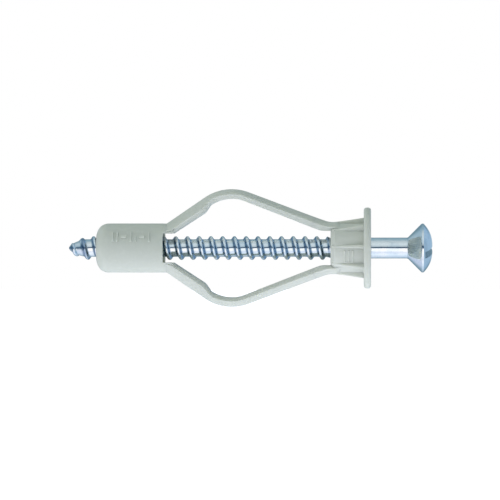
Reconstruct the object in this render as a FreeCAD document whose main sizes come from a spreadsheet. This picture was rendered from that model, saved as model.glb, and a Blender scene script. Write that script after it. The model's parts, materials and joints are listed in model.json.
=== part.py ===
"""A hollow-wall anchor: a nylon plug with two folding arms, and the slotted wood screw that works it.

Frame: +X runs along the screw out of the wall, the arms spread up and down along Z, and the origin
is the centre of the flange's wall-side face. All sizes are in millimetres and degrees.
"""

import FreeCAD, Part
import os
import math
import Sketcher
from FreeCAD import Placement, Rotation, Vector

doc = FreeCAD.newDocument("wall_anchor")

# ---------------------------------------------------------------- driving dimensions
DIMENSIONS = {
    "body_radius": 4.1,          # outside of the sleeve and the collar, for an 8 mm hole
    "sleeve_start": -44.5,       # nose of the plug
    "sleeve_end": -33.3,         # mouth of the sleeve, between the arms
    "nose_rounding": 1.9,
    "sleeve_bore": 2.03,         # bore radius, clear of the thread's crests
    "mouth_bore": 2.6,
    "mouth_depth": 0.9,
    "hinge_height": 3.33,        # distance of the four end hinges from the axis
    "collar_hinge": -5.28,       # X of the hinges at the collar
    "hinge_spacing": 27.0,       # X distance from the collar's hinges to the sleeve's
    "hinge_play": 0.08,          # gap round each knuckle
    "arm_slope": 20.3,           # slope of the front arms
    "arm_width": 5.2,
    "arm_thickness": 1.7,
    "arm_crown": 4.1,            # radius of the rounded back of every arm
    "arm_facet": 0.6,            # how far each inner side facet runs in
    "fork_gap": 2.2,             # gap in the front arm that takes the rear arm's tongue
    "fork_depth": 1.05,
    "link_slope": 34.4,          # slope of the rear arms
    "link_width": 6.4,
    "link_top": 0.94,            # rear arm's back above its hinge axis
    "link_thickness": 2.15,
    "link_run": 8.01,            # from the hinge to where the back starts to curve
    "link_taper": 2.0,           # length over which the root thickens
    "shoulder_run": 1.26,        # length of the sloping step on the inner side
    "apex_radius": 7.31,         # outside radius of the bow's top
    "apex_turn": 54.7,
    "apex_thickness": 1.6,
    "tongue_length": 1.1,        # from the end of the bow to the apex hinge
    "tongue_width": 2.0,
    "collar_length": 5.5,
    "collar_bore": 2.06,
    "collar_slot": 5.36,         # width of the notch that the front arm turns in
    "flange_radius": 6.75,
    "flange_thickness": 1.2,
    "flange_rounding": 0.45,
    "countersink_radius": 4.15,
    "fin_count": 8,
    "fin_start": -4.6,
    "fin_height": 0.9,
    "fin_thickness": 0.6,
    "screw_tip": -49.2,
    "tip_radius": 0.3,
    "tip_length": 2.6,
    "core_radius": 1.465,
    "crest_radius": 1.975,
    "crest_width": 0.16,
    "ridge_width": 0.84,
    "ridge_sink": 0.05,          # how far the ridge's foot lies inside the core
    "pitch": 1.96,
    "thread_first": -47.03,      # X of the first full crest above the axis
    "thread_turns": 21,
    "shank_start": -5.1,
    "shank_end": 7.3,
    "shank_radius": 1.735,
    "head_radius": 4.07,
    "rim_height": 0.34,
    "dome_height": 1.45,
    "slot_width": 1.15,
    "slot_depth": 1.25,
    "slot_turn": 18.7,
    "through_cut": 108,          # longer than any piece, for cuts that pass right through one
}

sheet = doc.addObject("Spreadsheet::Sheet", "sheet")
for row, (alias, value) in enumerate(DIMENSIONS.items(), start=1):
    sheet.set(f"A{row}", alias)
    sheet.set(f"B{row}", str(value))
    sheet.setAlias(f"B{row}", alias)
doc.recompute()


def bind(thing, **expressions):
    """Set properties of an object from expressions on the sheet; __ in a name stands for a dot."""
    for name, expression in expressions.items():
        thing.setExpression(name.replace("__", "."), expression)


def value_of(expression):
    """What an expression on the sheet comes to, as a plain number."""
    result = sheet.evalExpression(expression)
    return float(getattr(result, "Value", result))


# ---------------------------------------------------------------- sketching
ORIGIN = (-1, 1)                 # Sketcher's own name for the sketch origin
FIRST_AXIS, SECOND_AXIS = -1, -2
START, END, CENTRE = 1, 2, 3
HALF_TURN, FULL_TURN = 180, 360
SAME = 1e-4                      # sizes closer than this count as equal


def new_body(label):
    body = doc.addObject("PartDesign::Body", label)
    body.Label = label
    return body


def new_sketch(body, name, role):
    """A sketch on one of the body's own origin planes, such as XZ_Plane."""
    plane = next(o for o in body.Origin.OriginFeatures if o.Role == role)
    sketch = body.newObject("Sketcher::SketchObject", name)
    sketch.AttachmentSupport = [(plane, "")]
    sketch.MapMode = "FlatFace"
    return sketch


def body_axis(body, role):
    return next(o for o in body.Origin.OriginFeatures if o.Role == role)


def dimension(sketch, kind, where, expression):
    """Add a constraint whose value follows an expression on the sheet."""
    index = sketch.addConstraint(Sketcher.Constraint(kind, *where, value_of(expression)))
    sketch.setExpression(f"Constraints[{index}]", expression)


def place_point(sketch, edge, end, across, up):
    """Hold one end of an edge at the distances across and up from the sketch origin."""
    dimension(sketch, "DistanceX", (*ORIGIN, edge, end), across)
    dimension(sketch, "DistanceY", (*ORIGIN, edge, end), up)


def outline(sketch, corners):
    """A closed outline of straight edges through corners, each a pair of expressions."""
    points = [Vector(value_of(across), value_of(up), 0) for across, up in corners]
    edges = []
    for here, there in zip(points, points[1:] + points[:1]):
        edges.append(sketch.addGeometry(Part.LineSegment(here, there), False))
    for edge, following in zip(edges, edges[1:] + edges[:1]):
        sketch.addConstraint(Sketcher.Constraint("Coincident", edge, END, following, START))
    for edge, (across, up) in zip(edges, corners):
        place_point(sketch, edge, START, across, up)


def rounded_bar(sketch, left, right, radius, round_left=True, round_right=True):
    """A bar lying along the sketch's first axis, its ends round or square."""
    x0, x1, r = value_of(left), value_of(right), value_of(radius)
    top = sketch.addGeometry(Part.LineSegment(Vector(x1, r, 0), Vector(x0, r, 0)), False)
    bottom = sketch.addGeometry(Part.LineSegment(Vector(x0, -r, 0), Vector(x1, -r, 0)), False)
    for edge, end, across, up in (
        (top, START, right, radius),
        (top, END, left, radius),
        (bottom, START, left, f"-({radius})"),
        (bottom, END, right, f"-({radius})"),
    ):
        place_point(sketch, edge, end, across, up)
    caps = ((x0, 90, 270, round_left, left, top, bottom), (x1, -90, 90, round_right, right, bottom, top))
    for x, first, last, is_round, centre, before, after in caps:
        if is_round:
            circle = Part.Circle(Vector(x, 0, 0), Vector(0, 0, 1), r)
            arc = Part.ArcOfCircle(circle, math.radians(first), math.radians(last))
            cap = sketch.addGeometry(arc, False)
            dimension(sketch, "DistanceX", (*ORIGIN, cap, CENTRE), centre)
        else:
            cap = sketch.addGeometry(Part.LineSegment(Vector(x, r, 0), Vector(x, -r, 0)), False)
        first_end, last_end = (START, END) if is_round or x == x0 else (END, START)
        sketch.addConstraint(Sketcher.Constraint("Coincident", before, END, cap, first_end))
        sketch.addConstraint(Sketcher.Constraint("Coincident", cap, last_end, after, START))


def crowned_section(sketch, half_width, top, bottom, lift="0"):
    """An arm's cross-section: rounded back, flat inner face, and a facet down each side."""
    half, high, low = value_of(half_width), value_of(f"{top} + {lift}"), value_of(f"{bottom} + {lift}")
    crown, inner = value_of("sheet.arm_crown"), half - value_of("sheet.arm_facet")
    reach = math.asin(half / crown)
    side = high - crown + crown * math.cos(reach)
    circle = Part.Circle(Vector(0, high - crown, 0), Vector(0, 0, 1), crown)
    back = sketch.addGeometry(Part.ArcOfCircle(circle, math.pi / 2 - reach, math.pi / 2 + reach), False)
    corners = [Vector(-half, side, 0), Vector(-inner, low, 0), Vector(inner, low, 0), Vector(half, side, 0)]
    sides = [
        sketch.addGeometry(Part.LineSegment(here, there), False)
        for here, there in zip(corners, corners[1:])
    ]
    ring = [back, *sides]
    for edge, following in zip(ring, ring[1:] + ring[:1]):
        sketch.addConstraint(Sketcher.Constraint("Coincident", edge, END, following, START))
    sketch.addConstraint(Sketcher.Constraint("PointOnObject", back, CENTRE, SECOND_AXIS))
    dimension(sketch, "Radius", (back,), "sheet.arm_crown")
    dimension(sketch, "DistanceY", (*ORIGIN, back, CENTRE), f"{top} + {lift} - sheet.arm_crown")
    dimension(sketch, "DistanceX", (*ORIGIN, back, START), half_width)
    dimension(sketch, "DistanceX", (*ORIGIN, back, END), f"-({half_width})")
    place_point(sketch, sides[1], START, f"sheet.arm_facet - ({half_width})", f"{bottom} + {lift}")
    place_point(sketch, sides[1], END, f"({half_width}) - sheet.arm_facet", f"{bottom} + {lift}")


# ---------------------------------------------------------------- solid features
def revolve(body, name, corners):
    """Turn a closed outline in the XZ plane about the X axis; corners are (X, radius) pairs."""
    sketch = new_sketch(body, f"{name}_profile", "XZ_Plane")
    outline(sketch, corners)
    turned = body.newObject("PartDesign::Revolution", name)
    turned.Profile = sketch
    turned.ReferenceAxis = (body_axis(body, "X_Axis"), [""])
    turned.Angle = FULL_TURN


def pad(body, name, sketch, length):
    """Thicken a sketch's outline both ways from its plane."""
    feature = body.newObject("PartDesign::Pad", name)
    feature.Profile = sketch
    feature.Midplane = True
    bind(feature, Length=length)
    return feature


def pocket(body, name, sketch, length):
    """Cut a sketch's outline both ways from its plane."""
    feature = body.newObject("PartDesign::Pocket", name)
    feature.Profile = sketch
    feature.Midplane = True
    bind(feature, Length=length)


def round_edges(body, name, radius, chosen):
    """Fillet the edges of the body's tip that the function chosen picks out."""
    doc.recompute()
    tip = body.Tip
    names = [f"Edge{i}" for i, edge in enumerate(tip.Shape.Edges, start=1) if chosen(edge)]
    fillet = body.newObject("PartDesign::Fillet", name)
    fillet.Base = (tip, names)
    bind(fillet, Radius=radius)


def is_ring(edge, x, radius):
    """Whether an edge is a circle of this radius about the X axis, at this X."""
    curve = edge.Curve
    if not isinstance(curve, Part.Circle):
        return False
    return abs(curve.Center.x - x) < SAME and abs(curve.Radius - radius) < SAME


def trim_to_section(body, half_width, top, bottom):
    """Cut away what lies outside the crowned section, all along the body."""
    sketch = new_sketch(body, f"{body.Name}_section", "YZ_Plane")
    crowned_section(sketch, half_width, top, bottom)
    clear = "sheet.link_width"
    outline(sketch, [
        (f"-{clear}", f"-{clear}"), (clear, f"-{clear}"), (clear, clear), (f"-{clear}", clear),
    ])
    pocket(body, f"{body.Name}_crown", sketch, "sheet.through_cut")


def stand_arm(body, hinge_x, slope, below, towards_nose=False):
    """Place an arm with its hinge at hinge_x, climbing away from it; below mirrors it down."""
    facing = Rotation(Vector(0, 0, 1), HALF_TURN if towards_nose else 0)
    direction = facing.multiply(Rotation(Vector(0, 1, 0), -value_of(slope)))
    place = Placement(Vector(value_of(hinge_x), 0, value_of("sheet.hinge_height")), direction)
    if below:
        place = Placement(Vector(), Rotation(Vector(1, 0, 0), HALF_TURN)).multiply(place)
    body.Placement = place


# ---------------------------------------------------------------- sleeve
def make_sleeve():
    """The nose of the plug: a thick tube with a rounded end, opened out a little at its mouth."""
    body = new_body("sleeve")
    start, end, bore = "sheet.sleeve_start", "sheet.sleeve_end", "sheet.sleeve_bore"
    revolve(body, "sleeve_tube", [
        (start, bore), (start, "sheet.body_radius"), (end, "sheet.body_radius"),
        (end, "sheet.mouth_bore"), (f"{end} - sheet.mouth_depth", "sheet.mouth_bore"),
        (f"{end} - sheet.mouth_depth", bore),
    ])
    x, radius = value_of(start), value_of("sheet.body_radius")
    round_edges(body, "nose", "sheet.nose_rounding", lambda edge: is_ring(edge, x, radius))
    return body


# ---------------------------------------------------------------- arms
def make_front_arm(label, below):
    """The long strip from the collar to the top of the bow, with a round root and a forked tip."""
    body = new_body(label)
    half = "sheet.arm_thickness / 2"
    length = "sheet.hinge_spacing / 2 / cos(sheet.arm_slope)"
    side = new_sketch(body, f"{label}_side", "XZ_Plane")
    rounded_bar(side, "0", length, half)
    pad(body, f"{label}_strip", side, "sheet.arm_width")
    trim_to_section(body, "sheet.arm_width / 2", half, f"-{half}")

    fork = new_sketch(body, f"{label}_fork", "XZ_Plane")
    reach = f"{length} + sheet.arm_thickness"
    outline(fork, [
        (f"{length} - sheet.fork_depth", "-sheet.arm_thickness"), (reach, "-sheet.arm_thickness"),
        (reach, "sheet.arm_thickness"), (f"{length} - sheet.fork_depth", "sheet.arm_thickness"),
    ])
    pocket(body, f"{label}_gap", fork, "sheet.fork_gap")
    stand_arm(body, "sheet.collar_hinge", "sheet.arm_slope", below, towards_nose=True)
    return body


def make_rear_arm(label, below):
    """The stout link that climbs from the sleeve, the curved top of the bow, and a tongue for the hinge."""
    body = new_body(label)
    top, run, turn = "sheet.link_top", "sheet.link_run", "sheet.apex_turn"
    under = "(sheet.link_top - sheet.link_thickness)"
    thin = "(sheet.link_top - sheet.apex_thickness)"

    side = new_sketch(body, f"{label}_side", "XZ_Plane")
    outline(side, [
        (run, top), ("0", top), ("0", f"-{top}"), ("sheet.link_taper", under),
        (f"{run} - sheet.shoulder_run", under), (run, thin),
    ])
    pad(body, f"{label}_link", side, "sheet.link_width")

    knuckle = new_sketch(body, f"{label}_knuckle", "XZ_Plane")
    knuckle.addGeometry(Part.Circle(Vector(), Vector(0, 0, 1), value_of(top)), False)
    knuckle.addConstraint(Sketcher.Constraint("Coincident", 0, CENTRE, *ORIGIN))
    dimension(knuckle, "Radius", (0,), top)
    pad(body, f"{label}_root", knuckle, "sheet.link_width")
    trim_to_section(body, "sheet.link_width / 2", top, under)

    section = new_sketch(body, f"{label}_bow_section", "YZ_Plane")
    crowned_section(section, "sheet.arm_width / 2", top, thin, "sheet.apex_radius - sheet.link_top")
    bind(section, AttachmentOffset__Base__z=run,
         AttachmentOffset__Base__y="sheet.link_top - sheet.apex_radius")
    bow = body.newObject("PartDesign::Revolution", f"{label}_bow")
    bow.Profile = section
    bow.ReferenceAxis = (section, ["H_Axis"])
    bow.Reversed = False
    bind(bow, Angle=turn)

    tongue = new_sketch(body, f"{label}_tongue", "XZ_Plane")
    middle = "(sheet.apex_radius - sheet.apex_thickness / 2)"
    rounded_bar(tongue, "-sheet.tongue_length / 2", "sheet.tongue_length", "sheet.apex_thickness / 2",
                round_left=False)
    bind(tongue,
         AttachmentOffset__Base__x=f"{run} + {middle} * sin({turn})",
         AttachmentOffset__Base__y=f"{top} - sheet.apex_radius + {middle} * cos({turn})",
         AttachmentOffset__Rotation__Angle=f"-{turn}")
    pad(body, f"{label}_tip", tongue, "sheet.tongue_width")
    stand_arm(body, "sheet.collar_hinge - sheet.hinge_spacing", "sheet.link_slope", below)
    return body


# ---------------------------------------------------------------- collar
def make_collar():
    """The end that stays in the wall's face: a short tube with fins, the flange and its countersink."""
    body = new_body("collar")
    back, face = "-sheet.collar_length", "sheet.flange_thickness"
    throat = "sheet.flange_thickness - sheet.countersink_radius + sheet.collar_bore"
    revolve(body, "collar_tube", [
        (back, "sheet.collar_bore"), (back, "sheet.body_radius"), ("0", "sheet.body_radius"),
        ("0", "sheet.flange_radius"), (face, "sheet.flange_radius"),
        (face, "sheet.countersink_radius"), (throat, "sheet.collar_bore"),
    ])
    front, radius = value_of(face), value_of("sheet.flange_radius")
    round_edges(body, "rim", "sheet.flange_rounding",
                lambda edge: is_ring(edge, front, radius) or is_ring(edge, 0.0, radius))

    side = new_sketch(body, "fin_side", "XZ_Plane")
    outline(side, [
        ("sheet.fin_start", "sheet.body_radius - sheet.fin_thickness"),
        ("0", "sheet.body_radius - sheet.fin_thickness"),
        ("0", "sheet.body_radius + sheet.fin_height"), ("sheet.fin_start", "sheet.body_radius"),
    ])
    fin = pad(body, "fin", side, "sheet.fin_thickness")
    ring = body.newObject("PartDesign::PolarPattern", "fins")
    ring.Originals = [fin]
    ring.Axis = (body_axis(body, "X_Axis"), [""])
    ring.Angle = FULL_TURN
    bind(ring, Occurrences="sheet.fin_count")
    body.Tip = ring

    room = "(sheet.arm_thickness / 2 + sheet.hinge_play)"
    for name, up in (("upper", 1), ("lower", -1)):
        notch = new_sketch(body, f"{name}_notch", "XZ_Plane")
        height, clear = f"{up} * sheet.hinge_height", f"{up} * sheet.flange_radius"
        inner, open_end = f"sheet.collar_hinge + {room}", f"{back} - {room}"
        outline(notch, [(open_end, height), (inner, height), (inner, clear), (open_end, clear)])
        pocket(body, f"{name}_clearance", notch, "sheet.collar_slot")
        socket = new_sketch(body, f"{name}_socket", "XZ_Plane")
        centre = Vector(value_of("sheet.collar_hinge"), value_of(height), 0)
        socket.addGeometry(Part.Circle(centre, Vector(0, 0, 1), value_of(room)), False)
        place_point(socket, 0, CENTRE, "sheet.collar_hinge", height)
        dimension(socket, "Radius", (0,), room)
        pocket(body, f"{name}_seat", socket, "sheet.collar_slot")
    return body


# ---------------------------------------------------------------- screw
def make_thread():
    """The threaded length: a core with a blunt tip, and one rounded-off ridge wound round it."""
    body = new_body("screw_thread")
    tip, end, core = "sheet.screw_tip", "sheet.shank_start", "sheet.core_radius"
    revolve(body, "core", [
        (tip, "0"), (tip, "sheet.tip_radius"), (f"{tip} + sheet.tip_length", core),
        (end, core), (end, "0"),
    ])
    ridge = new_sketch(body, "ridge", "XZ_Plane")
    first, root = "sheet.thread_first", f"{core} - sheet.ridge_sink"
    outline(ridge, [
        (f"{first} - sheet.ridge_width / 2", root),
        (f"{first} - sheet.crest_width / 2", "sheet.crest_radius"),
        (f"{first} + sheet.crest_width / 2", "sheet.crest_radius"),
        (f"{first} + sheet.ridge_width / 2", root),
    ])
    helix = body.newObject("PartDesign::AdditiveHelix", "winding")
    helix.Profile = ridge
    helix.ReferenceAxis = (body_axis(body, "X_Axis"), [""])
    helix.Mode = "pitch-height-angle"
    bind(helix, Pitch="sheet.pitch", Height="sheet.pitch * sheet.thread_turns")
    return body


def make_shank():
    """The plain length between the thread and the head."""
    body = new_body("screw_shank")
    start, end, radius = "sheet.shank_start", "sheet.shank_end", "sheet.shank_radius"
    revolve(body, "shank", [(start, "0"), (start, radius), (end, radius), (end, "0")])
    return body


def make_head():
    """The raised countersunk head: a 45 degree cone, a short rim, a domed top and a straight slot."""
    body = new_body("screw_head")
    under, radius, rim = "sheet.shank_end", "sheet.head_radius", "sheet.rim_height"
    shoulder = f"{under} + {radius} - sheet.shank_radius"
    profile = new_sketch(body, "head_profile", "XZ_Plane")
    corners = [
        (under, "0"), (under, "sheet.shank_radius"), (shoulder, radius), (f"{shoulder} + {rim}", radius),
    ]
    points = [Vector(value_of(x), value_of(r), 0) for x, r in corners]
    rise, rim_x = value_of("sheet.dome_height"), points[-1].x
    ball = (value_of(radius) ** 2 + rise**2) / (2 * rise)
    centre = Vector(rim_x + rise - ball, 0, 0)
    for here, there in zip(points, points[1:]):
        profile.addGeometry(Part.LineSegment(here, there), False)
    circle = Part.Circle(centre, Vector(0, 0, 1), ball)
    dome = profile.addGeometry(Part.ArcOfCircle(circle, 0, math.asin(points[-1].y / ball)), False)
    axis = profile.addGeometry(Part.LineSegment(Vector(rim_x + rise, 0, 0), points[0]), False)
    for edge in (0, 1):
        profile.addConstraint(Sketcher.Constraint("Coincident", edge, END, edge + 1, START))
    profile.addConstraint(Sketcher.Constraint("Coincident", 2, END, dome, END))
    profile.addConstraint(Sketcher.Constraint("Coincident", dome, START, axis, START))
    profile.addConstraint(Sketcher.Constraint("Coincident", axis, END, 0, START))
    for edge, (x, r) in enumerate(corners[:3]):
        place_point(profile, edge, START, x, r)
    place_point(profile, 2, END, *corners[3])
    place_point(profile, axis, START, f"{shoulder} + {rim} + sheet.dome_height", "0")
    profile.addConstraint(Sketcher.Constraint("PointOnObject", dome, CENTRE, FIRST_AXIS))
    turned = body.newObject("PartDesign::Revolution", "head")
    turned.Profile = profile
    turned.ReferenceAxis = (body_axis(body, "X_Axis"), [""])
    turned.Angle = FULL_TURN

    slot = new_sketch(body, "slot", "XZ_Plane")
    floor = f"{shoulder} + {rim} + sheet.dome_height - sheet.slot_depth"
    clear, side = f"{floor} + {radius}", "sheet.slot_width / 2"
    outline(slot, [(floor, f"-{side}"), (clear, f"-{side}"), (clear, side), (floor, side)])
    pocket(body, "slot_cut", slot, "sheet.through_cut")
    body.Placement = Placement(Vector(), Rotation(Vector(1, 0, 0), value_of("sheet.slot_turn")))
    return body


# ---------------------------------------------------------------- assembly
pieces = [
    make_collar(),
    make_front_arm("front_arm_upper", below=False),
    make_front_arm("front_arm_lower", below=True),
    make_rear_arm("rear_arm_upper", below=False),
    make_rear_arm("rear_arm_lower", below=True),
    make_sleeve(),
    make_shank(),
    make_thread(),
    make_head(),
]
doc.recompute()

for thing in doc.Objects:
    if {"Invalid", "Error"} & set(thing.State):
        raise SystemExit(f"{thing.Label} failed: {thing.State}")
for piece in pieces:
    if piece.Shape.isNull() or not piece.Shape.isValid():
        raise SystemExit(f"{piece.Label} has no valid shape")

os.makedirs("parts", exist_ok=True)
for piece in pieces:
    piece.Shape.exportStep(os.path.join("parts", f"{piece.Label}.step"))
    box = piece.Shape.BoundBox
    print(f"{piece.Label:18s} {len(piece.Shape.Solids)} solid, {piece.Shape.Volume:8.2f} mm3,"
          f" X {box.XMin:.2f}..{box.XMax:.2f}  Z {box.ZMin:.2f}..{box.ZMax:.2f}")
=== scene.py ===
import json
import math

import bmesh
import bpy
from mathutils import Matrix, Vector


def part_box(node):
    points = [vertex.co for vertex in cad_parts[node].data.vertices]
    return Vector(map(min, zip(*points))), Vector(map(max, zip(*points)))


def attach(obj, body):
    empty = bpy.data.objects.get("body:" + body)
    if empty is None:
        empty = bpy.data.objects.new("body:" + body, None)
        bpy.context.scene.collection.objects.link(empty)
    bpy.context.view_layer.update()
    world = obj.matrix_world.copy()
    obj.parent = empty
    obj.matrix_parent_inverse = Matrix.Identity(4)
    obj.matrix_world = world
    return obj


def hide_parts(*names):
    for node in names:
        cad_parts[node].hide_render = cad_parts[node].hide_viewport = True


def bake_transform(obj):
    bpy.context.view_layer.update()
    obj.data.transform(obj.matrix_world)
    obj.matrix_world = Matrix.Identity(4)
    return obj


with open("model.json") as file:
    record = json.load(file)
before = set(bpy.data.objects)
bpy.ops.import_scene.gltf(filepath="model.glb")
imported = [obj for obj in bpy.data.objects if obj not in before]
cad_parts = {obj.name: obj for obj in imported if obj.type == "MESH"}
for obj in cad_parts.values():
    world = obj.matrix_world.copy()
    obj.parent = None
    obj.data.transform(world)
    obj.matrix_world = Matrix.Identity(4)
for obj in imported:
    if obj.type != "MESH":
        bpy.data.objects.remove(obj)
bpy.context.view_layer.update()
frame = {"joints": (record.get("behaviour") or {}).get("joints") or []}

# ---------------------------------------------------------------- sleeve
# The plug is one injection moulding in pale grey-green nylon. The sleeve is its
# tail, a thick tube with a rounded nose, which the screw threads itself into.
# A short root above and below its mouth is where an arm's film hinge leaves it.

MM = 0.001


class Signal:
    """A socket of a shader, so that its maths can be written as plain expressions."""

    def __init__(self, finish, socket):
        self.finish = finish
        self.socket = socket

    def work_out(self, operation, first, second):
        settings = {"operation": operation}
        return self.finish.add("ShaderNodeMath", settings, {0: first, 1: second}).out(0)

    def __add__(self, other):
        return self.work_out("ADD", self, other)

    def __radd__(self, other):
        return self.work_out("ADD", other, self)

    def __sub__(self, other):
        return self.work_out("SUBTRACT", self, other)

    def __rsub__(self, other):
        return self.work_out("SUBTRACT", other, self)

    def __mul__(self, other):
        return self.work_out("MULTIPLY", self, other)

    def __rmul__(self, other):
        return self.work_out("MULTIPLY", other, self)

    def above(self, low, high):
        """0 below low, 1 above high, smooth between them. It falls if low is the larger."""
        settings = {"interpolation_type": "SMOOTHSTEP"}
        return self.finish.add("ShaderNodeMapRange", settings, {0: self, 1: low, 2: high}).out(0)


class Placed:
    """A node that has been added to a finish."""

    def __init__(self, finish, node):
        self.finish = finish
        self.node = node

    def out(self, name):
        return Signal(self.finish, self.node.outputs[name])


class Finish:
    """A material, or the sky, built node by node."""

    def __init__(self, owner, output_type, output_socket):
        owner.use_nodes = True
        self.tree = owner.node_tree
        self.tree.nodes.clear()
        self.owner = owner
        self.output = self.tree.nodes.new(output_type)
        self.output_socket = output_socket

    def add(self, kind, settings=None, inputs=None):
        """Adds one node: its settings come first, then values or links for its sockets."""
        node = self.tree.nodes.new(kind)
        for name, value in (settings or {}).items():
            if name == "stops":
                self.set_stops(node.color_ramp, value)
            else:
                setattr(node, name, value)
        for name, value in (inputs or {}).items():
            if isinstance(value, Signal):
                self.tree.links.new(value.socket, node.inputs[name])
            else:
                node.inputs[name].default_value = value
        return Placed(self, node)

    def set_stops(self, ramp, stops):
        while len(ramp.elements) < len(stops):
            ramp.elements.new(1.0)
        for element, (position, colour) in zip(ramp.elements, stops):
            element.position = position
            element.color = (*colour, 1.0)

    def mix(self, factor, first, second):
        """Mixes two colours."""
        colours = {"Factor": factor, 6: first, 7: second}
        return self.add("ShaderNodeMix", {"data_type": "RGBA"}, colours).out(2)

    def close(self, signal):
        """Links the last node to the output, and gives back the material or sky."""
        self.tree.links.new(signal.socket, self.output.inputs[self.output_socket])
        return self.owner


def new_finish(name):
    return Finish(bpy.data.materials.new(name), "ShaderNodeOutputMaterial", "Surface")


def grain(finish, place, size, detail=3.0, roughness=0.5, stretch=(1.0, 1.0, 1.0)):
    """Noise whose features are about this many millimetres across."""
    scale = tuple(amount / (size * MM) for amount in stretch)
    spread = finish.add("ShaderNodeMapping", None, {"Vector": place, "Scale": scale}).out(0)
    settings = {"Vector": spread, "Scale": 1.0, "Detail": detail, "Roughness": roughness}
    return finish.add("ShaderNodeTexNoise", None, settings).out("Fac")


def make_nylon():
    """Pale grey-green nylon, with flow marks, a fine spark-eroded skin and a few scuffs."""
    finish = new_finish("pale_nylon")
    place = finish.add("ShaderNodeTexCoord").out("Object")
    flow = grain(finish, place, 9.0, detail=4.0, stretch=(0.35, 1.0, 1.0))
    speck = grain(finish, place, 0.55, detail=2.0)
    skin = grain(finish, place, 0.16, detail=2.0, roughness=0.6)
    rubbed = grain(finish, place, 1.4, detail=5.0, roughness=0.7, stretch=(0.25, 1.0, 1.0))
    scuff = rubbed.above(0.64, 0.78)
    darker_flow = (0.520, 0.558, 0.510, 1.0)
    lighter_flow = (0.555, 0.585, 0.540, 1.0)
    pale_speck = (0.64, 0.67, 0.62, 1.0)
    pale_scuff = (0.64, 0.67, 0.63, 1.0)
    body = finish.mix(flow.above(0.34, 0.66), darker_flow, lighter_flow)
    body = finish.mix(speck.above(0.45, 0.80) * 0.22, body, pale_speck)
    body = finish.mix(scuff * 0.22, body, pale_scuff)
    height = skin * 0.6 + flow * 0.9 + scuff * 0.35
    bump_inputs = {"Strength": 0.22, "Distance": 0.00005, "Height": height}
    bump = finish.add("ShaderNodeBump", None, bump_inputs).out(0)
    surface = finish.add("ShaderNodeBsdfPrincipled", None, {
        "Base Color": body,
        "Roughness": 0.40 + skin * 0.16 + scuff * 0.10,
        "Normal": bump,
        "IOR": 1.53,
        "Subsurface Weight": 0.45,
        "Subsurface Radius": (1.0, 0.95, 0.80),
        "Subsurface Scale": 0.0010,
        "Specular IOR Level": 0.42,
    })
    return finish.close(surface.out(0))


nylon = make_nylon()

# The sizes of the pieces are in millimetres, their angles in radians, on the frame's axes.
joints = {joint["name"]: joint for joint in frame["joints"]}
sleeve_pivot = Vector(joints["sleeve_hinge"]["pos_m"]) / MM
sleeve_low, sleeve_high = (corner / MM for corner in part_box("sleeve"))
body_radius = sleeve_high.y
nose_end = sleeve_low.x
mouth_end = nose_end + 11.2
nose_round = 1.95
thread_hole = 2.03
lead_in_depth = 0.45
lead_in_width = 0.30
mouth_hole = 3.75
mouth_depth = 1.5
mouth_taper = 0.35
root_inner = 2.42
root_half_width = 3.22
root_round = 0.93
root_inset = 0.015
root_buried = 0.9
root_end_share = 0.04
mark_low = math.radians(14.5)
mark_high = math.radians(39.0)
marks_from_nose = 2.75
mark_gap = 0.50
mark_proud = 0.24
mark_slope = 0.07
mark_buried = 0.2
mark_crown = 1.05
tall_mark = (0.28, 0.0, 1.0)
short_mark = (0.28, 0.0, 0.55)
dash_mark = (0.95, 0.34, 0.66)

# How finely the shapes are cut: steps round a turn, the longest straight run,
# steps in a rounded corner, and the share of a side that a round may take.
turn_steps = 96
longest_run = 0.6
corner_steps = 4
round_share = 0.45
weld_distance = 0.0004
sharp_angle = math.radians(36.0)


def rounded_corner(before, corner, after, radius):
    """The points of a small round that takes the place of a sharp corner."""
    back, ahead = before - corner, after - corner
    first = corner + back.normalized() * min(radius, back.length * round_share)
    last = corner + ahead.normalized() * min(radius, ahead.length * round_share)
    shares = [step / corner_steps for step in range(corner_steps + 1)]
    return [first.lerp(corner, share).lerp(corner.lerp(last, share), share) for share in shares]


def eased(outline, rounds):
    """An open outline whose corners are rounded by the radii given, 0 for none."""
    points = []
    for index, (point, radius) in enumerate(zip(outline, rounds)):
        if radius and 0 < index < len(outline) - 1:
            points += rounded_corner(outline[index - 1], point, outline[index + 1], radius)
        else:
            points.append(point)
    return points


def soften(mesh):
    """Shades a mesh smoothly, except across its sharp corners."""
    mesh.shade_smooth()
    mesh.set_sharp_from_angle(angle=sharp_angle)


def finish_mesh(name, shape, material):
    """Turns a bmesh in millimetres into a smooth-shaded piece in metres."""
    bmesh.ops.remove_doubles(shape, verts=shape.verts, dist=weld_distance)
    bmesh.ops.recalc_face_normals(shape, faces=shape.faces)
    bmesh.ops.scale(shape, vec=(MM, MM, MM), verts=shape.verts)
    mesh = bpy.data.meshes.new(name)
    shape.to_mesh(mesh)
    shape.free()
    soften(mesh)
    mesh.materials.append(material)
    piece = bpy.data.objects.new(name, mesh)
    bpy.context.scene.collection.objects.link(piece)
    return piece


def skin_rings(shape, rings, closed_ends=True):
    """Joins a row of closed rings, each with the same number of points, into a skin."""
    rows = [[shape.verts.new(point) for point in ring] for ring in rings]
    count = len(rings[0])
    for near, far in zip(rows, rows[1:]):
        for step in range(count):
            ahead = (step + 1) % count
            shape.faces.new((near[step], near[ahead], far[ahead], far[step]))
    if closed_ends:
        shape.faces.new(reversed(rows[0]))
        shape.faces.new(rows[-1])


def divided(outline):
    """The same closed outline with its long runs cut into shorter ones."""
    points = []
    for point, ahead in zip(outline, outline[1:] + outline[:1]):
        parts = max(1, math.ceil((ahead - point).length / longest_run))
        points += [point.lerp(ahead, part / parts) for part in range(parts)]
    return points


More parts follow.
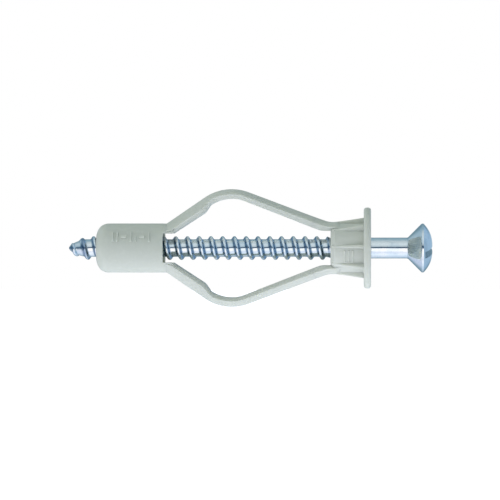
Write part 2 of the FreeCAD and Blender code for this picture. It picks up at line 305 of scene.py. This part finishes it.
def on_round(along, radius, angle):
    """A point on a round about the X axis. Angle 0 is the back and a quarter turn is the top."""
    return Vector((along, radius * math.cos(angle), radius * math.sin(angle)))


def on_front(along, radius, angle):
    """A point on the same round. Angle 0 is the middle of the front and a quarter turn the top."""
    return Vector((along, -radius * math.cos(angle), radius * math.sin(angle)))


def turned(shape, outline):
    """Turns a closed outline of (along, radius) points about the X axis, as a lathe does."""
    outline = divided(outline)
    angles = [math.tau * step / turn_steps for step in range(turn_steps)]
    rows = []
    for angle in angles:
        rows.append([shape.verts.new(on_round(point.x, point.y, angle)) for point in outline])
    for near, far in zip(rows, rows[1:] + rows[:1]):
        for step in range(len(outline)):
            ahead = (step + 1) % len(outline)
            shape.faces.new((near[step], near[ahead], far[ahead], far[step]))


def root_section():
    """A slice of the sleeve's round above a flat floor: points across Y and Z."""
    radius = body_radius - root_inset
    edge = math.asin(root_half_width / radius)
    steps = 28
    angles = [-edge + 2 * edge * step / steps for step in range(steps + 1)]
    arc = [Vector((radius * math.sin(angle), radius * math.cos(angle))) for angle in angles]
    floor = [Vector((root_half_width, root_inner)), Vector((-root_half_width, root_inner))]
    corners = [arc[-2], arc[-1], *floor, arc[0], arc[1]]
    return arc[1:-1] + eased(corners, [0, 0.08, 0.16, 0.16, 0.08, 0])[1:-1]


def add_root(shape, side):
    """One root at the mouth, rounded about the hinge's axis. side is 1 above and -1 below."""
    section = root_section()
    middle = sleeve_pivot.z
    stations = [(mouth_end - root_buried, 1.0), (mouth_end, 1.0), (sleeve_pivot.x, 1.0)]
    steps = 8
    for step in range(1, steps + 1):
        angle = math.pi / 2 * step / steps
        reach = root_round * math.sin(angle)
        stations.append((sleeve_pivot.x + reach, max(math.cos(angle), root_end_share)))
    rings = []
    for along, share in stations:
        ring = [Vector((along, y, side * (middle + (z - middle) * share))) for y, z in section]
        rings.append(ring)
    skin_rings(shape, rings)


def add_bar(shape, start, length, low, high):
    """A raised bar moulded on the sleeve's front, with sloping sides and a faint crown."""
    half_length = length / 2
    half_angle = (high - low) / 2
    top_length = half_length - mark_slope * min(1.0, half_length)
    top_angle = half_angle - mark_slope / body_radius * min(1.0, half_angle * body_radius)
    levels = [
        (half_length, half_angle, -mark_buried),
        (half_length, half_angle, 0.0),
        (top_length, top_angle, mark_proud),
        (length * 0.18, half_angle * 0.55, mark_proud * mark_crown),
    ]
    corners = [(-1, -1), (1, -1), (1, 1), (-1, 1)]
    steps = 5
    rings = []
    for reach_along, reach_round, rise in levels:
        ring = []
        for (end, edge), (next_end, next_edge) in zip(corners, corners[1:] + corners[:1]):
            for step in range(steps):
                share = step / steps
                along = start + half_length + reach_along * (end + (next_end - end) * share)
                angle = (low + high) / 2 + reach_round * (edge + (next_edge - edge) * share)
                ring.append(on_front(along, body_radius + rise, angle))
        rings.append(ring)
    skin_rings(shape, rings)


def combine(target, shape, operation="UNION"):
    """Fuses another closed shape into a piece, or cuts it out, and leaves one skin."""
    tool = finish_mesh("tool", shape, target.data.materials[0])
    modifier = target.modifiers.new("combine", "BOOLEAN")
    modifier.operation = operation
    modifier.solver = "EXACT"
    modifier.object = tool
    graph = bpy.context.evaluated_depsgraph_get()
    combined = bpy.data.meshes.new_from_object(target.evaluated_get(graph))
    target.modifiers.clear()
    old = target.data
    target.data = combined
    bpy.data.meshes.remove(old)
    bpy.data.objects.remove(tool)
    soften(target.data)


def make_sleeve():
    outline = [
        (nose_end + lead_in_depth, thread_hole),
        (nose_end, thread_hole + lead_in_width),
        (nose_end, body_radius),
        (mouth_end, body_radius),
        (mouth_end, mouth_hole),
        (mouth_end - mouth_depth, mouth_hole - mouth_taper),
        (mouth_end - mouth_depth, thread_hole),
    ]
    rounds = [0, 0.12, 0, 0.08, 0.08, 0.10, 0]
    points = eased([Vector(point) for point in outline], rounds)
    corner = points.index(Vector((nose_end, body_radius)))
    quarter = []
    steps = 12
    for step in reversed(range(steps + 1)):
        angle = math.pi / 2 * step / steps
        quarter.append(Vector((nose_end + nose_round * (1 - math.sin(angle)),
                               body_radius - nose_round * (1 - math.cos(angle)))))
    points[corner:corner + 1] = quarter
    shape = bmesh.new()
    turned(shape, points)
    sleeve = finish_mesh("sleeve_moulding", shape, nylon)
    for side in (1, -1):
        root = bmesh.new()
        add_root(root, side)
        combine(sleeve, root)
    marks = bmesh.new()
    span = mark_high - mark_low
    start = nose_end + marks_from_nose
    row = (tall_mark, tall_mark, dash_mark, tall_mark, short_mark, dash_mark, tall_mark)
    for length, foot, top in row:
        add_bar(marks, start, length, mark_low + span * foot, mark_low + span * top)
        start += length + mark_gap
    combine(sleeve, marks)
    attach(sleeve, "sleeve")
    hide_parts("sleeve")


make_sleeve()

# ---------------------------------------------------------------- arms
# Each arm is a strip of the same nylon that rises from the collar to a bowed
# knee and comes down to the sleeve as a thicker link, crowned outside and flat
# inside. It has no hinge pins: the nylon itself bends at the collar and knee.

collar_pivot = Vector(joints["upper_arm_fold"]["pos_m"]) / MM
front_slope = math.radians(20.66)
link_slope = math.radians(34.4)
front_cover = 0.68
link_cover = 0.94
link_thickness = 2.15
link_taper = 0.024
knee_radius = 8.0
knee_thickness = 1.60
strip_width = 5.2
strip_inner_width = 4.0
edge_round = 0.11
foot_round = edge_round * 1.4
deepest_crown = 0.72
link_width = 6.4
link_inner_width = 5.2
link_end = -0.24
knuckle_reach = 0.95
knuckle_clear = 0.02
shoulder_start = 1.45
shoulder_length = 1.75
spread_start = -1.6
spread_length = 3.4
strip_seam = -8.0
full_tilt = strip_seam + 0.5
root_back = -3.75
sink_start = -4.85
sunk_height = 4.02
collar_edge = 4.21
collar_rise = 0.155
collar_softness = 0.19
mouth_height = 2.85
mouth_softness = 0.06
inner_slope = math.radians(21.3)
inner_face = Vector((-8.95, 3.55))
typical_depth = 1.8

front_along = Vector((math.cos(front_slope), -math.sin(front_slope)))
front_up = Vector((math.sin(front_slope), math.cos(front_slope)))
link_along = Vector((math.cos(link_slope), math.sin(link_slope)))
link_up = Vector((-math.sin(link_slope), math.cos(link_slope)))
collar_point = Vector((collar_pivot.x, collar_pivot.z))
sleeve_point = Vector((sleeve_pivot.x, sleeve_pivot.z))
front_face = collar_point + front_up * front_cover
link_face = sleeve_point + link_up * link_cover


def crossing(point_a, along_a, point_b, along_b):
    """Where two lines meet."""
    gap = point_b - point_a
    across = along_a.x * along_b.y - along_a.y * along_b.x
    reach = (gap.x * along_b.y - gap.y * along_b.x) / across
    return point_a + along_a * reach


knee_centre = crossing(front_face - front_up * knee_radius, front_along,
                       link_face - link_up * knee_radius, link_along)


def smooth_step(share):
    """0 to 1 with an easy start and end, for a share that may lie outside 0 to 1."""
    share = min(max(share, 0.0), 1.0)
    return share * share * (3 - 2 * share)


def strip_section(width, inner_width, thickness):
    """A crowned strip: points across Y and up from its flat inside."""
    half = width / 2
    drop = body_radius - math.sqrt(body_radius ** 2 - half ** 2)
    flatten = min(1.0, deepest_crown * thickness / drop)
    steps = 16
    arc = []
    for step in range(steps + 1):
        y = -half + width * step / steps
        fall = body_radius - math.sqrt(body_radius ** 2 - y ** 2)
        arc.append(Vector((y, thickness - fall * flatten)))
    foot = inner_width / 2
    corners = [arc[-2], arc[-1], Vector((foot, 0.0)), Vector((-foot, 0.0)), arc[0], arc[1]]
    return arc[2:-2] + eased(corners, [0, edge_round, foot_round, foot_round, edge_round, 0])


def strip_ring(outer, up, thickness, width, inner_width, side):
    """One ring of the strip. outer is its crown's top, up points out of the strip."""
    inner = outer - up * thickness
    ring = []
    for across, height in strip_section(width, inner_width, thickness):
        place = inner + up * height
        ring.append(Vector((place.x, across, side * place.y)))
    return ring


def soft_max(first, second, softness):
    """The higher of two numbers, with a smooth change from one to the other."""
    half_gap = (first - second) / 2
    return (first + second) / 2 + math.hypot(half_gap, softness)


def outer_height(along):
    """The strip's outside near the collar, where it sweeps up into the collar's fin."""
    strip = front_face.y - math.tan(front_slope) * (along - front_face.x)
    fin = collar_edge + collar_rise * (along - collar_pivot.x)
    return soft_max(strip, fin, collar_softness)


def crown_height(along):
    """The same outside, which sinks into the collar's round between its fins."""
    sunk = smooth_step((along - sink_start) / (root_back - sink_start))
    return outer_height(along) * (1 - sunk) + sunk_height * sunk


def inner_height(along):
    """The strip's inside near the collar, where it runs into the collar's mouth."""
    strip = inner_face.y - math.tan(inner_slope) * (along - inner_face.x)
    return soft_max(strip, mouth_height, mouth_softness)


def depth_to_inside(outer, up):
    """How far the inside lies below a point of the outside, found by ever closer guesses."""
    depth = typical_depth
    for _ in range(24):
        inside = inner_height(outer.x - up.x * depth)
        depth = (outer.y - inside) / up.y
    return depth


def front_ring(along, tilt, side):
    """One ring of the strip at a place near the collar, and the strip's thickness there."""
    outer = Vector((along, crown_height(along)))
    up = Vector((math.sin(tilt), math.cos(tilt)))
    thickness = depth_to_inside(outer, up)
    return strip_ring(outer, up, thickness, strip_width, strip_inner_width, side), thickness


def root_rings(side):
    """The film hinge at the collar: from inside the collar to the strip's plain run."""
    rings = []
    steps = 30
    for step in range(steps + 1):
        along = root_back + (strip_seam - root_back) * step / steps
        share = smooth_step((sink_start - along) / (sink_start - full_tilt))
        ring, _ = front_ring(along, front_slope * share, side)
        rings.append(ring)
    return rings


def front_rings(side):
    """The plain run from the seam to the knee's bow, and its thickness where it ends."""
    tangent = knee_centre + front_up * knee_radius
    rings = []
    steps = 14
    for step in range(steps + 1):
        along = strip_seam + (tangent.x - strip_seam) * step / steps
        ring, thickness = front_ring(along, front_slope, side)
        rings.append(ring)
    return rings, thickness


def link_profile(reach):
    """The link's thickness, width and inner width, at a distance from where the bow ends."""
    share = (reach + shoulder_length - shoulder_start) / shoulder_length
    share = 0.5 * min(max(share, 0.0), 1.0) + 0.5 * smooth_step(share)
    thickness = knee_thickness + (link_thickness - knee_thickness) * share
    thickness -= link_taper * max(reach - shoulder_start, 0.0)
    spread = smooth_step((reach - spread_start) / spread_length)
    width = strip_width + (link_width - strip_width) * spread
    inner_width = strip_inner_width + (link_inner_width - strip_inner_width) * spread
    return thickness, width, inner_width


def bow_rings(side, front_thickness):
    """The bow of the knee, from the strip's side round to the link's."""
    turn = front_slope + link_slope
    rings = []
    steps = 30
    blend_steps = 8
    for step in range(1, steps + 1):
        swing = turn * step / steps
        tilt = front_slope - swing
        up = Vector((math.sin(tilt), math.cos(tilt)))
        outer = knee_centre + up * knee_radius
        thickness, width, inner_width = link_profile(-knee_radius * (turn - swing))
        blend_in = smooth_step(step / blend_steps)
        thickness = front_thickness + (thickness - front_thickness) * blend_in
        rings.append(strip_ring(outer, up, thickness, width, inner_width, side))
    return rings


def link_rings(side):
    """The thick link, down to its rounded end in the sleeve's root."""
    tangent = knee_centre + link_up * knee_radius
    length = (tangent - link_face).dot(link_along) + link_end
    shoulder = [0.15 * step for step in range(1, 18)]
    last, steps = shoulder[-1], 10
    plain = [last + (length - last) * step / steps for step in range(1, steps + 1)]
    rings = []
    for reach in shoulder + plain:
        thickness, width, inner_width = link_profile(reach)
        outer = tangent - link_along * reach
        rings.append(strip_ring(outer, link_up, thickness, width, inner_width, side))
    steps = 9
    for step in range(steps):
        angle = math.pi / 2 * step / steps
        back = knuckle_reach * math.sin(angle)
        top = link_cover * math.cos(angle)
        floor = (root_inner + knuckle_clear - sleeve_point.y + back * link_along.y) / link_up.y
        outer = sleeve_point - link_along * back + link_up * top
        rings.append(strip_ring(outer, link_up, top - floor, link_width, link_inner_width, side))
    return rings


def make_arm(name, side):
    shape = bmesh.new()
    skin_rings(shape, root_rings(side))
    root = finish_mesh(f"arm_root_{name}", shape, nylon)
    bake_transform(root)
    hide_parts(f"front_arm_{name}")

    shape = bmesh.new()
    rings, front_thickness = front_rings(side)
    rings += bow_rings(side, front_thickness)
    rings += link_rings(side)
    skin_rings(shape, rings)
    arm = finish_mesh(f"arm_{name}", shape, nylon)
    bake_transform(arm)
    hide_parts(f"front_arm_{name}", f"rear_arm_{name}")


for name, side in (("upper", 1), ("lower", -1)):
    make_arm(name, side)

# ---------------------------------------------------------------- collar
# The collar is the plug's head end, in the same moulding. Eight thin fins
# stiffen it towards a wide flange that stops the plug at the wall, and a plain
# ring closes its front.

collar_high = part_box("collar")[1] / MM
flange_radius = collar_high.y
flange_back = collar_high.x
flange_thickness = 1.2
flange_front = flange_back - flange_thickness
collar_length = 5.5
collar_front = flange_front - collar_length
ring_end = collar_front + 0.8
ring_bevel = 0.55
ring_proud = 0.02
panel_radius = body_radius - 0.02
collar_hole = 2.06
collar_lead_depth = 0.35
collar_lead_width = 0.25
sink_radius = 4.15
fin_count = 8
arm_fins = (2, 6)
fin_roll = math.radians(3.0)
fin_width = 0.52
fin_foot = 3.2
fin_edge = 4.13
fin_rise = 0.205
fin_buried = 0.25
fin_start = ring_end - 0.55
collar_mark_low = math.radians(-36)
collar_mark_high = math.radians(-6)
collar_mark_length = 0.28
collar_mark_starts = (-3.30, -2.60, -1.95)
collar_mark_buried = 0.35
collar_mark_slope = 0.05


def add_fin(shape, index):
    """A thin rib that rises from the ring to the flange. An arm's own rib starts at its hinge."""
    angle = fin_roll + math.tau * index / fin_count
    behind_arm = index in arm_fins
    out = Vector((0, -math.cos(angle), math.sin(angle)))
    beside = Vector((0, math.sin(angle), math.cos(angle)))
    start = sink_start if behind_arm else fin_start
    stop = flange_front + fin_buried
    rings = []
    steps = 8
    for step in range(steps + 1):
        along = start + (stop - start) * step / steps
        top = outer_height(along) if behind_arm else fin_edge + fin_rise * max(along - ring_end, -0.1)
        half = fin_width / 2 * (0.80 + 0.40 * step / steps)
        flank = [(half * 1.15, fin_foot), (half, top - half * 0.8),
                 (half * 0.75, top - half * 0.25), (half * 0.3, top)]
        section = flank + [(-across, up) for across, up in reversed(flank)]
        middle = Vector((along, 0, 0))
        rings.append([middle + beside * across + out * up for across, up in section])
    skin_rings(shape, rings)


def add_collar_marks(shape):
    """Three small raised bars between the front fin and the one below it."""
    span = collar_mark_high - collar_mark_low
    levels = ((-collar_mark_buried, 0.0), (0.0, 0.0), (mark_proud, collar_mark_slope))
    for start in collar_mark_starts:
        rings = []
        for rise, inset in levels:
            turn = inset / 4
            ring = []
            for end, edge in ((0, 0), (1, 0), (1, 1), (0, 1)):
                along = start + inset + (collar_mark_length - 2 * inset) * end
                angle = collar_mark_low + turn + (span - 2 * turn) * edge
                ring.append(on_front(along, panel_radius + rise, angle))
            rings.append(ring)
        skin_rings(shape, rings)


def make_collar():
    outline = [
        (collar_front + collar_lead_depth, collar_hole),
        (collar_front, collar_hole + collar_lead_width),
        (collar_front, body_radius - ring_bevel),
        (ring_end - 0.1, body_radius + ring_proud),
        (ring_end + 0.02, panel_radius),
        (flange_front, panel_radius),
        (flange_front, flange_radius),
        (flange_back, flange_radius),
        (flange_back, sink_radius),
        (flange_back - (sink_radius - collar_hole), collar_hole),
    ]
    rounds = [0, 0.1, 0.25, 0.10, 0.03, 0.22, 0.55, 0.55, 0.12, 0.12]
    points = [Vector(point) for point in outline]
    profile = eased([points[-1], *points, points[0]], [0, *rounds, 0])[1:-1]
    shape = bmesh.new()
    turned(shape, profile)
    collar = finish_mesh("collar_moulding", shape, nylon)
    for index in range(fin_count):
        shape = bmesh.new()
        add_fin(shape, index)
        combine(collar, shape)
    shape = bmesh.new()
    add_collar_marks(shape)
    combine(collar, shape)
    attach(collar, "collar")
    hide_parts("collar")


make_collar()

# ---------------------------------------------------------------- screw
# The screw is cold-headed from one steel wire, thread-rolled to a blunt point
# and bright zinc plated, which leaves a bluish mirror with a faint haze. Its
# raised countersunk head has one straight slot.

head_low, head_high = (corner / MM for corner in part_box("screw_head"))
tip_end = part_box("screw_thread")[0].x / MM
thread_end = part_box("screw_shank")[0].x / MM
shank_radius = 1.735
core_radius = 1.465
crest_radius = 1.975
pitch = 1.96
top_crest = -31.35
point_length = 2.9
point_dullness = 0.65
crest_full_from = tip_end + 3.25
crest_slope = 0.30
crest_start = 0.2
crest_swell = 0.7
crest_stop = 1.1
crest_fade = 0.9
flank_foot = (1.50, 1.62)
flank_top = (1.84, 1.93)
flank_end = (thread_end - 0.9, thread_end - 0.3)
neck = head_low.x
shank_run = 1.3
spare_turns = 5
head_radius = head_high.y
dome_base = head_radius - 0.12
dome_height = 1.45
dome_end = head_high.x
dome_fullness = 2.7
dome_crowding = 1.6
dome_steps = 24
rim_back = dome_end - dome_height
rim_front = rim_back - 0.34
rim_lip = 0.10
slot_width = 1.15
slot_depth = 1.25
slot_floor = dome_end - slot_depth
slot_turn = math.radians(18.7)
slot_cutter_height = 3.0
slot_cutter_reach = head_radius * 1.3
slot_round = 0.12
screw_steps = 72
seam_weld = 0.002
smallest_edge = 0.0005


def make_zinc_steel():
    """Bright zinc on steel, with streaks and pits, painted shade in hollows, a painted dark reflection
    on the thread flanks, and a rougher slot painted greyer as shade.
    """
    finish = new_finish("zinc_plated_steel")
    place = finish.add("ShaderNodeTexCoord").out("Object")
    cloud = grain(finish, place, 2.6, detail=4.0)
    streak = grain(finish, place, 0.35, detail=3.0, stretch=(0.22, 1.0, 1.0))
    pit = grain(finish, place, 0.22, detail=2.0).above(0.58, 0.75)
    parts = finish.add("ShaderNodeSeparateXYZ", None, {0: place})
    along, across, rise = parts.out("X"), parts.out("Y"), parts.out("Z")
    square = (across * across + rise * rise) * (1 / MM ** 2)
    (foot_in, foot_out), (top_in, top_out) = flank_foot, flank_top
    # Painted dark reflection: the thread's flanks, between their foot and top radii and fading out
    # before the shank, are painted dark blue.
    flank = square.above(foot_in ** 2, foot_out ** 2) * square.above(top_out ** 2, top_in ** 2)
    flank = flank * along.above(flank_end[1] * MM, flank_end[0] * MM)
    # Painted shade: concave places, such as the thread's roots, are painted dark by their pointiness.
    hollow_shade = finish.add("ShaderNodeNewGeometry").out("Pointiness").above(0.502, 0.465)
    # Painted shade in the slot: its floor and walls are painted greyer, and they are also made rougher.
    beside = (rise * math.cos(slot_turn) - across * math.sin(slot_turn)) * (1 / MM)
    half_square = (slot_width / 2) ** 2
    slot_faces = (beside * beside).above(1.10 * half_square, 1.03 * half_square)
    slot_faces = slot_faces * along.above((slot_floor - 0.03) * MM, (slot_floor - 0.02) * MM)
    blue_zinc = (0.72, 0.84, 0.92, 1.0)
    white_zinc = (0.90, 0.95, 0.97, 1.0)
    dull_streak = (0.60, 0.72, 0.79, 1.0)
    grey_pit = (0.46, 0.55, 0.62, 1.0)
    painted_hollow_shade = (0.14, 0.27, 0.38, 1.0)
    shaded_flank = (0.14, 0.26, 0.42, 1.0)
    painted_slot_shade = (0.40, 0.48, 0.55, 1.0)
    tint = finish.mix(cloud.above(0.35, 0.65), blue_zinc, white_zinc)
    tint = finish.mix(streak.above(0.54, 0.74) * 0.50, tint, dull_streak)
    tint = finish.mix(pit * 0.35, tint, grey_pit)
    tint = finish.mix(hollow_shade * 0.85, tint, painted_hollow_shade)
    tint = finish.mix(flank * 0.75, tint, shaded_flank)
    tint = finish.mix(slot_faces * 0.35, tint, painted_slot_shade)
    height = streak * 0.5 + pit * -0.5 + cloud * 1.2
    bump_inputs = {"Strength": 0.25, "Distance": 0.00003, "Height": height}
    bump = finish.add("ShaderNodeBump", None, bump_inputs).out(0)
    surface = finish.add("ShaderNodeBsdfPrincipled", None, {
        "Base Color": tint,
        "Metallic": 1.0,
        "Roughness": 0.05 + cloud * 0.08 + pit * 0.12 + slot_faces * 0.20,
        "Normal": bump,
        "Coat Weight": 0.15,
        "Coat Roughness": 0.12,
    })
    return finish.close(surface.out(0))


zinc_steel = make_zinc_steel()


def core_at(along):
    """The core's radius: a blunt nose that swells to the plain core."""
    share = min(max((along - tip_end) / point_length, 0.0), 1.0)
    rest = 1 - share
    cone, dome = 1 - rest ** 1.2, math.sqrt(1 - rest * rest)
    nose = (1 - point_dullness) * cone + point_dullness * dome
    radius = core_radius * nose
    return radius + (shank_radius - radius) * smooth_step((along - thread_end + shank_run) / shank_run)


def crest_at(along):
    """The thread's crest: low at the point, full after two turns, gone at the shank."""
    rising = crest_radius - crest_slope * max(crest_full_from - along, 0.0)
    core = core_at(along)
    height = max(rising - core, 0.0) * smooth_step((along - tip_end - crest_start) / crest_swell)
    return core + height * (1 - smooth_step((along - thread_end + crest_stop) / crest_fade))


# Half of the thread's outline: how far from its crest, and its height as a share.
thread_flank = [(0.08, 1.00), (0.18, 0.91), (0.26, 0.74), (0.45, 0.13), (0.54, 0.03), (0.66, 0.00)]
thread_rise = [(-offset, height) for offset, height in reversed(thread_flank)]
thread_profile = [(-pitch / 2, 0.00), *thread_rise, *thread_flank]
turns_ahead = math.ceil((top_crest - tip_end) / pitch) + 2
first_turn = top_crest - pitch * (turns_ahead + 0.25)


def thread_point(index, step):
    """A point of the thread's skin. index counts profile points along the screw."""
    turn, spot = divmod(index, len(thread_profile))
    offset, height = thread_profile[spot]
    along = first_turn + pitch * (turn + step / screw_steps) + offset
    along = min(max(along, tip_end), thread_end)
    core = core_at(along)
    radius = core + (crest_at(along) - core) * height
    return on_round(along, radius, math.tau * step / screw_steps)


def cut_slot(screw):
    """Saws the driver's slot across the dome."""
    half = slot_width / 2
    high = slot_cutter_height
    corners = [Vector((half, high)), Vector((half, 0.0)), Vector((-half, 0.0)), Vector((-half, high))]
    section = eased(corners, [0, slot_round, slot_round, 0])
    across = Vector((0, math.cos(slot_turn), math.sin(slot_turn)))
    beside = Vector((0, -math.sin(slot_turn), math.cos(slot_turn)))
    rings = []
    for reach in (-slot_cutter_reach, slot_cutter_reach):
        middle = across * reach
        rings.append([Vector((slot_floor + up, 0, 0)) + middle + beside * side for side, up in section])
    shape = bmesh.new()
    skin_rings(shape, rings)
    combine(screw, shape, "DIFFERENCE")


def make_screw():
    shape = bmesh.new()
    per_turn = len(thread_profile)
    turns = math.ceil((thread_end - tip_end) / pitch) + spare_turns
    steps = range(screw_steps)
    grid = []
    for row in range(turns * per_turn):
        grid.append([shape.verts.new(thread_point(row, step)) for step in steps])
    for row in range((turns - 1) * per_turn - 1):
        for step in steps:
            wraps, ahead = divmod(step + 1, screw_steps)
            far = row + wraps * per_turn
            near_edge = (grid[row][step], grid[far][ahead])
            far_edge = (grid[far + 1][ahead], grid[row + 1][step])
            shape.faces.new((*near_edge, *far_edge))
    outline = [
        (thread_end, shank_radius),
        (neck, shank_radius),
        (rim_front, head_radius),
        (rim_back, head_radius),
        (rim_back + rim_lip, dome_base),
    ]
    rounds = [0, 0.16, 0.14, 0.10, 0]
    profile = eased([Vector(point) for point in outline], rounds)
    shank_rings = 8
    plain_length = neck - 1.0 - thread_end
    profile[1:1] = [Vector((thread_end + plain_length * ring / shank_rings, shank_radius))
                    for ring in range(1, shank_rings + 1)]
    for step in range(1, dome_steps + 1):
        out = 1 - (step / dome_steps) ** dome_crowding
        rise = (dome_height - rim_lip) * (1 - out ** dome_fullness)
        profile.append(Vector((rim_back + rim_lip + rise, dome_base * out)))
    angles = [math.tau * step / screw_steps for step in steps]
    rings = [[on_round(point.x, point.y, angle) for angle in angles] for point in profile]
    skin_rings(shape, rings, closed_ends=False)
    bmesh.ops.remove_doubles(shape, verts=shape.verts, dist=seam_weld)
    bmesh.ops.dissolve_degenerate(shape, edges=shape.edges, dist=smallest_edge)
    screw = finish_mesh("screw", shape, zinc_steel)
    cut_slot(screw)
    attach(screw, "screw_turn")
    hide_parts("screw_shank", "screw_thread", "screw_head")


make_screw()

# ---------------------------------------------------------------- studio
# A pale table that glows evenly, a soft sky and two soft boxes, with the camera
# level with the screw and a little towards its head.

floor_size = 4000.0
floor_drop = 60.0


def make_floor():
    shape = bmesh.new()
    bmesh.ops.create_grid(shape, x_segments=8, y_segments=8, size=floor_size)
    bmesh.ops.translate(shape, vec=(0, 0, -floor_drop), verts=shape.verts)
    finish = new_finish("lit_table")
    white = finish.add("ShaderNodeBsdfDiffuse", None, {"Color": (0.50, 0.50, 0.50, 1.0)}).out(0)
    glow = finish.add("ShaderNodeEmission", None, {"Color": (1.02, 1.03, 1.14, 1.0)}).out(0)
    both = finish.add("ShaderNodeAddShader", None, {0: white, 1: glow}).out(0)
    floor = finish_mesh("floor", shape, finish.close(both))
    floor.visible_glossy = False


def make_sky():
    """White to the camera, soft light for the nylon, and broad light and dark bands for the metal."""
    world = bpy.data.worlds.new("studio_sky")
    bpy.context.scene.world = world
    sky = Finish(world, "ShaderNodeOutputWorld", "Surface")
    direction = sky.add("ShaderNodeTexCoord").out("Generated")
    parts = sky.add("ShaderNodeSeparateXYZ", None, {0: direction})
    across, away, rise = parts.out("X"), parts.out("Y"), parts.out("Z")
    level = rise * 0.5 + 0.5
    front = sky.add("ShaderNodeValToRGB", {"stops": [
        (0.000, (1.00, 1.04, 1.12)),
        (0.120, (0.86, 0.88, 1.00)),
        (0.250, (1.22, 1.16, 1.13)),
        (0.440, (1.22, 1.16, 1.13)),
        (0.480, (0.50, 0.56, 0.66)),
        (0.500, (0.03, 0.06, 0.11)),
        (0.570, (0.04, 0.08, 0.13)),
        (0.640, (0.54, 0.61, 0.66)),
        (0.850, (0.70, 0.77, 0.80)),
        (1.000, (0.52, 0.59, 0.62)),
    ]}, {0: level}).out(0)
    behind = sky.add("ShaderNodeValToRGB", {"stops": [
        (0.00, (0.80, 0.86, 0.98)),
        (0.20, (0.36, 0.46, 0.54)),
        (0.40, (0.14, 0.24, 0.30)),
        (0.48, (0.42, 0.56, 0.68)),
        (0.55, (0.42, 0.56, 0.68)),
        (0.63, (0.14, 0.24, 0.29)),
        (1.00, (0.34, 0.46, 0.52)),
    ]}, {0: level}).out(0)
    tones = sky.mix(away.above(-0.25, 0.25), front, behind)
    head_side = (0.36, 0.51, 0.67, 1.0)
    past_head = (0.30, 0.43, 0.57, 1.0)
    tones = sky.mix(across.above(0.30, 0.60), tones, head_side)
    tones = sky.mix(across.above(0.90, 0.96), tones, past_head)
    nose_side = sky.add("ShaderNodeValToRGB", {"stops": [
        (0.28, (0.66, 0.70, 0.84)),
        (0.38, (0.16, 0.24, 0.30)),
        (0.44, (0.06, 0.12, 0.20)),
        (0.56, (0.06, 0.12, 0.20)),
        (0.62, (0.16, 0.24, 0.30)),
        (0.72, (0.38, 0.50, 0.58)),
    ]}, {0: level}).out(0)
    tones = sky.mix(across.above(-0.40, -0.75), tones, nose_side)
    ambient = sky.add("ShaderNodeValToRGB", {"stops": [
        (0.46, (0.70, 0.74, 0.80)),
        (0.51, (0.12, 0.13, 0.13)),
        (0.66, (0.54, 0.58, 0.55)),
        (1.00, (0.98, 1.04, 0.99)),
    ]}, {0: level}).out(0)
    dim_head_side = (0.02, 0.07, 0.09, 1.0)
    ambient = sky.mix(across.above(0.15, 0.75), ambient, dim_head_side)
    path = sky.add("ShaderNodeLightPath")
    tones = sky.mix(path.out("Is Diffuse Ray"), tones, ambient)
    tones = sky.mix(path.out("Is Camera Ray"), tones, (1.0, 1.0, 1.0, 1.0))
    sky.close(sky.add("ShaderNodeBackground", None, {"Color": tones}).out(0))


def add_softbox(name, place, side, watts):
    """A square soft box that faces the middle of the plug and doesn't mirror in the metal."""
    lamp = bpy.data.lights.new(name, "AREA")
    lamp.shape = "RECTANGLE"
    lamp.size, lamp.size_y = side, side
    lamp.energy = watts
    holder = bpy.data.objects.new(name, lamp)
    bpy.context.scene.collection.objects.link(holder)
    holder.location = place
    holder.rotation_euler = (plug_middle - place).to_track_quat("-Z", "Y").to_euler()
    holder.visible_glossy = False


def add_camera():
    azimuth = math.radians(2.2)
    distance = 0.50
    view_width = 0.08333
    target = Vector((-18.95, 0.0, -0.33)) * MM
    back = Vector((math.sin(azimuth), -math.cos(azimuth), 0.0))
    camera = bpy.data.cameras.new("camera")
    camera.sensor_width = 36.0
    camera.lens = camera.sensor_width * distance / view_width
    camera.clip_start = 0.05
    camera.clip_end = 50.0
    holder = bpy.data.objects.new("camera", camera)
    bpy.context.scene.collection.objects.link(holder)
    holder.location = target + back * distance
    holder.rotation_euler = (-back).to_track_quat("-Z", "Y").to_euler()
    bpy.context.scene.camera = holder


# Places and sizes of the lights are in metres, as Blender takes them.
plug_middle = Vector((-0.019, 0.0, 0.0))
make_floor()
make_sky()
add_softbox("top_softbox", Vector((-0.10, -0.30, 0.50)), 0.30, 0.22)
add_softbox("nose_softbox", Vector((-0.60, -0.12, 0.02)), 0.25, 0.15)
add_camera()
bpy.context.scene.view_settings.view_transform = "Standard"
